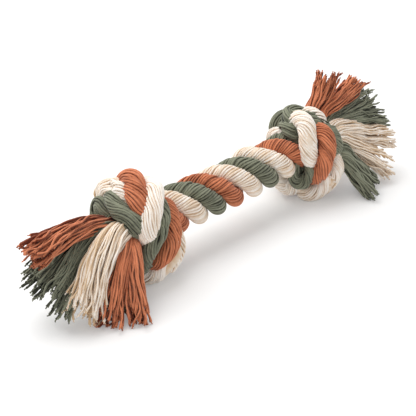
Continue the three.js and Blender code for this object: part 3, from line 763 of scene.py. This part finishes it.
def tuft(line, length, tilt, wide, high, count, slant, shift, rng):
    """The loose yarns of one tuft, from inside the knot to their cut ends, as bundles with their tints.

    Each yarn has its place across the tuft, its own length, and its own bends.
    """
    rings = round(length / LOOSE_STATION) + EXTRA_RINGS
    stray = rng.uniform(0, 1, (count, 1)) < STRAY_SHARE
    disc = yarn_disc(count, rng)
    tip_height = (disc * np.exp(1j * (TUFT_TWIST + tilt))).imag
    reach = 1 + rng.uniform(*CUT_RANGE, (count, 1)) + STRAY_REACH * stray - slant * tip_height
    share = np.minimum(reach, 1 + OVERSHOOT) * np.linspace(0, 1, rings)[None]

    middle_line = on_line(line, length, share)
    along = unit(np.gradient(middle_line, axis=1))
    out = unit(UPWARD - along * along[..., 2:])
    side = np.cross(along, out)

    place = gathered(disc, share, rng)
    spread = SPREAD_EVEN * share + (1 - SPREAD_EVEN) * share ** SPREAD_POWER
    root = ROOT_YARN_ROOM * math.sqrt(count)
    radius_wide = root + (TUFT_TIP_RADIUS * wide - root) * spread - LOOSE_YARN_RADIUS
    radius_high = root + (TUFT_TIP_RADIUS * high - root) * spread - LOOSE_YARN_RADIUS

    bend = (ROOT_BEND + (TIP_BEND + STRAY_BEND * stray) * share ** 2) * MM
    run = share * length
    across = place.real * radius_wide + bend * wander(rng, run.shape, run, LOOSE_WAVE)
    up = place.imag * radius_high + bend * wander(rng, run.shape, run, LOOSE_WAVE)
    aside = rng.uniform(0, 2 * math.pi, (count, 1))
    curl = CURL * smooth(*CURL_FADE, share / reach) * rng.uniform(0, 1, (count, 1))
    across, up = across + curl * np.cos(aside), up + curl * np.sin(aside)
    cos, sin = math.cos(tilt), math.sin(tilt)
    across, up = across * cos - up * sin, across * sin + up * cos
    centres = middle_line + across[..., None] * side + up[..., None] * out
    centres[..., 2] = np.maximum(centres[..., 2], REST_HEIGHT)

    radius = LOOSE_YARN_RADIUS * rng.uniform(*LOOSE_SIZES, (count, 1)) * np.ones_like(share)
    radius[:, -1] *= rng.uniform(*END_SWELL, count)
    radius[:, -2] *= rng.uniform(*NECK_SWELL, count)
    radial = place.real[..., None] * side + place.imag[..., None] * out
    tint = shift + rng.uniform(-1, 1, count)
    bundles = [tubes(centres, radial, radius, YARN_SIDES, cap=YARN_CAP), frayed(centres, rng)]
    return bundles, [tint, np.repeat(tint, PLIES)]


def math_node(tree, operation, *values):
    """The output of a new math node, with its inputs set to numbers or linked to other outputs."""
    node = tree.nodes.new("ShaderNodeMath")
    node.operation = operation
    for socket, value in zip(node.inputs, values):
        if isinstance(value, (int, float)):
            socket.default_value = value
        else:
            tree.links.new(value, socket)
    return node.outputs[0]


def noise(tree, place, scale):
    """The output of a new noise texture at an object's own places."""
    node = tree.nodes.new("ShaderNodeTexNoise")
    node.inputs["Scale"].default_value = scale
    node.inputs["Detail"].default_value = NOISE_DETAIL
    tree.links.new(place.outputs["Object"], node.inputs["Vector"])
    return node.outputs["Fac"]


def lighter(tree, tone, value, middle, share):
    """A tone made lighter by a share of what a value has above its middle."""
    above = math_node(tree, "SUBTRACT", value, middle)
    return math_node(tree, "ADD", tone, math_node(tree, "MULTIPLY", above, share))


def yarn_group():
    """A node group with the colour, with painted shade on the yarn's sides and in its plies' grooves, and
    the relief of a plied yarn, from its own run and turn.
    """
    tree = bpy.data.node_groups.new("plied_yarn", "ShaderNodeTree")
    face = tree.interface
    face.new_socket("Dark", in_out="INPUT", socket_type="NodeSocketColor")
    face.new_socket("Light", in_out="INPUT", socket_type="NodeSocketColor")
    face.new_socket("Colour", in_out="OUTPUT", socket_type="NodeSocketColor")
    face.new_socket("Normal", in_out="OUTPUT", socket_type="NodeSocketVector")
    nodes, links = tree.nodes, tree.links
    into, outof = nodes.new("NodeGroupInput"), nodes.new("NodeGroupOutput")

    uv = nodes.new("ShaderNodeUVMap")
    uv.uv_map = "yarn"
    parts = nodes.new("ShaderNodeSeparateXYZ")
    links.new(uv.outputs["UV"], parts.inputs[0])
    around = math_node(tree, "MULTIPLY", parts.outputs["X"], PLY_RIDGES * 2 * math.pi)
    along = math_node(tree, "MULTIPLY", parts.outputs["Y"], PLY_TURN)
    ply = math_node(tree, "SINE", math_node(tree, "ADD", around, along))
    # painted shade: the yarn's outer side, painted lighter than its sides beside its neighbours
    turn = math_node(tree, "MULTIPLY", parts.outputs["X"], 2 * math.pi)
    crest_shade = math_node(tree, "COSINE", math_node(tree, "ADD", turn, CREST_TURN))

    tint = nodes.new("ShaderNodeAttribute")
    tint.attribute_name = "tint"
    place = nodes.new("ShaderNodeTexCoord")
    patch = noise(tree, place, PATCH_SCALE)
    fibre = noise(tree, place, FIBRE_SCALE)

    tone = math_node(tree, "ADD", math_node(tree, "MULTIPLY", tint.outputs["Fac"], TINT_TONE), TONE_MIDDLE)
    tone = lighter(tree, tone, patch, NOISE_MIDDLE, PATCH_TONE)
    tone = lighter(tree, tone, fibre, NOISE_MIDDLE, FIBRE_TONE)
    # painted shade: the grooves between the plies darker, their ridges lighter
    tone = math_node(tree, "ADD", tone, math_node(tree, "MULTIPLY", ply, PLY_SHADE_TONE))
    # painted shade: each yarn lighter on its outer side and darker at its sides, beside its neighbours
    tone = lighter(tree, tone, crest_shade, CREST_SHADE_MIDDLE, CREST_SHADE_TONE)
    mix = nodes.new("ShaderNodeMix")
    mix.data_type = "RGBA"
    links.new(tone, mix.inputs["Factor"])
    links.new(into.outputs["Dark"], mix.inputs["A"])
    links.new(into.outputs["Light"], mix.inputs["B"])
    links.new(mix.outputs["Result"], outof.inputs["Colour"])

    bump = nodes.new("ShaderNodeBump")
    bump.inputs["Strength"].default_value = RELIEF_STRENGTH
    bump.inputs["Distance"].default_value = RELIEF_DEPTH
    relief = math_node(tree, "ADD", math_node(tree, "MULTIPLY", ply, PLY_RELIEF), fibre)
    links.new(relief, bump.inputs["Height"])
    links.new(bump.outputs["Normal"], outof.inputs["Normal"])
    return tree


def cotton(name, dark, light):
    """Soft plied cotton: each yarn a little lighter or darker, with painted shade on its sides and between
    its plies, and its plies and fibres in relief.
    """
    material = bpy.data.materials.new(name)
    material.use_nodes = True
    nodes, links = material.node_tree.nodes, material.node_tree.links
    shader = nodes["Principled BSDF"]
    for socket, value in COTTON_SURFACE.items():
        shader.inputs[socket].default_value = value
    group = nodes.new("ShaderNodeGroup")
    group.node_tree = YARN_GROUP
    group.inputs["Dark"].default_value = (*dark, 1)
    group.inputs["Light"].default_value = (*light, 1)
    links.new(group.outputs["Colour"], shader.inputs["Base Color"])
    links.new(group.outputs["Normal"], shader.inputs["Normal"])
    return material


def make_rope():
    """The three strands of the rope, each one piece."""
    strands = []
    for number, colour in enumerate(("green", "rust", "cream")):
        rng = np.random.default_rng(SEEDS["rope"] + number)
        strand = rope_strand(colour)
        bundles, tints = laid_yarns(strand, ROPE_YARN_ANGLE, colour, TINT_AND_LIGHT_SHIFTS["rope"][colour], rng)
        piece = build(f"rope_strand_{colour}", bundles, colour, None, tints)
        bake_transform(piece)
        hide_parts(*(f"rope_{part}_{colour}" for part in ("left", "middle", "right")))
        strands.append(strand)
    return strands


def make_knot(side, body, turns, rope):
    """One knot: its turns, each hidden where an outer one or the rope covers it, and its inside."""
    middle = ROPE_MIDDLE + np.array([OUTWARD[side] * KNOT_SPACING / 2, 0, 0])
    uppers = []
    for number, (name, wide, angle, rows) in enumerate(turns):
        rng = np.random.default_rng(SEEDS[f"{side}_knot"] + number)
        strand = knot_strand(middle, wide, rows)
        colour = name.split("_")[0]
        # painted light: the knots' yarns are lighter than the same strands in the rope, as on lit tops
        shift = TINT_AND_LIGHT_SHIFTS["knot"][colour]
        bundles, tints = laid_yarns(strand, angle, colour, shift, rng, uppers + rope)
        for bundle in bundles:
            bundle["points"][:, 2] = np.maximum(bundle["points"][:, 2], 0)
        piece = build(f"{side}_knot_{name}_yarns", bundles, colour, body, tints)
        if name not in TUCKED:
            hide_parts(f"{side}_knot_{name}")
        uppers.append(strand)
    for number, (colour, tilt, lift) in enumerate(INNER_TURNS):
        rng = np.random.default_rng(SEEDS["inner"] + number)
        bundles, tints = laid_yarns(inner_turn(middle, tilt, lift), INNER_YARN_ANGLE, colour, 0, rng)
        build(f"{side}_knot_inner_{number + 1}", bundles, colour, body, tints)
    return middle


def make_tassel(side, middle, tufts):
    """One tassel, whose tufts run out from the knot."""
    for number, (name, wide, high, roll, count, sway, rows) in enumerate(tufts):
        rng = np.random.default_rng(SEEDS[f"{side}_tassel"] + number)
        colour = name.split("_")[0]
        shift = TINT_AND_LIGHT_SHIFTS["tuft"][colour]
        slant = CUT_SLANTS.get(f"{side}_{name}", CUT_SLANT)
        tilt = math.radians(roll) * OUTWARD[side]
        line, length = tuft_line(middle, OUTWARD[side], rows)
        bundles, tints = tuft(line, length, tilt, wide, high, count, slant, shift, rng)
        piece = build(f"{side}_tassel_{name}_yarns", bundles, colour, None, tints)
        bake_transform(piece)
        nodes = [f"{side}_tassel_{name}_tips"]
        if f"{side}_{name}" not in FORKED:
            nodes.append(f"{side}_tassel_{name}_root")
        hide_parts(*nodes)


def make_camera():
    data = bpy.data.cameras.new("camera")
    data.lens = CAMERA_LENS
    data.sensor_width = CAMERA_SENSOR
    data.shift_x, data.shift_y = CAMERA_SHIFT
    camera = bpy.data.objects.new("camera", data)
    bpy.context.scene.collection.objects.link(camera)
    look = Vector((-math.sin(CAMERA_TURN) * math.cos(CAMERA_RISE),
                   math.cos(CAMERA_TURN) * math.cos(CAMERA_RISE), -math.sin(CAMERA_RISE)))
    camera.location = TARGET - look * CAMERA_DISTANCE
    camera.rotation_euler = look.to_track_quat("-Z", "Y").to_euler()
    bpy.context.scene.camera = camera


def floor_paper():
    """Matt white paper, partly without shade where the camera sees it, also in a mirror or through glass."""
    material = bpy.data.materials.new("floor_paper")
    material.use_nodes = True
    tree = material.node_tree
    shader = tree.nodes["Principled BSDF"]
    shader.inputs["Base Color"].default_value = (*FLOOR_COLOUR, 1)
    shader.inputs["Roughness"].default_value = FLOOR_ROUGHNESS
    glow = tree.nodes.new("ShaderNodeEmission")
    path = tree.nodes.new("ShaderNodeLightPath")
    mix = tree.nodes.new("ShaderNodeMixShader")
    seen = path.outputs["Is Camera Ray"]
    for ray in ("Is Glossy Ray", "Is Transmission Ray"):
        seen = math_node(tree, "MAXIMUM", seen, path.outputs[ray])
    tree.links.new(math_node(tree, "MULTIPLY", seen, FLOOR_GLOW), mix.inputs["Fac"])
    tree.links.new(shader.outputs[0], mix.inputs[1])
    tree.links.new(glow.outputs[0], mix.inputs[2])
    tree.links.new(mix.outputs[0], tree.nodes["Material Output"].inputs["Surface"])
    return material


def make_floor():
    mesh = bpy.data.meshes.new("floor")
    corners = [(x * FLOOR_HALF, y * FLOOR_HALF, 0) for x, y in ((-1, -1), (1, -1), (1, 1), (-1, 1))]
    mesh.from_pydata(corners, [], [(0, 1, 2, 3)])
    mesh.materials.append(floor_paper())
    floor = bpy.data.objects.new("floor", mesh)
    bpy.context.scene.collection.objects.link(floor)


def make_light(name, place, size, power):
    """A soft square lamp that faces the toy."""
    data = bpy.data.lights.new(name, "AREA")
    data.shape = "SQUARE"
    data.size = size
    data.energy = power
    light = bpy.data.objects.new(name, data)
    light.location = Vector(place)
    light.rotation_euler = (TARGET - Vector(place)).to_track_quat("-Z", "Y").to_euler()
    bpy.context.scene.collection.objects.link(light)


def make_world():
    world = bpy.data.worlds.new("world")
    world.use_nodes = True
    background = world.node_tree.nodes["Background"]
    background.inputs["Color"].default_value = (1, 1, 1, 1)
    background.inputs["Strength"].default_value = WORLD_STRENGTH
    bpy.context.scene.world = world


YARN_GROUP = yarn_group()
COTTON = {colour: cotton(f"{colour}_cotton", dark, light) for colour, (dark, light) in COTTON_TONES.items()}

rope = make_rope()
left_middle = make_knot("left", "left_half", LEFT_KNOT, rope)
right_middle = make_knot("right", "right_half", RIGHT_KNOT, rope)
make_tassel("left", left_middle, LEFT_TUFTS)
make_tassel("right", right_middle, RIGHT_TUFTS)
make_camera()
make_floor()
make_world()
for light in LIGHTS:
    make_light(*light)
bpy.context.scene.view_settings.view_transform = "Standard"
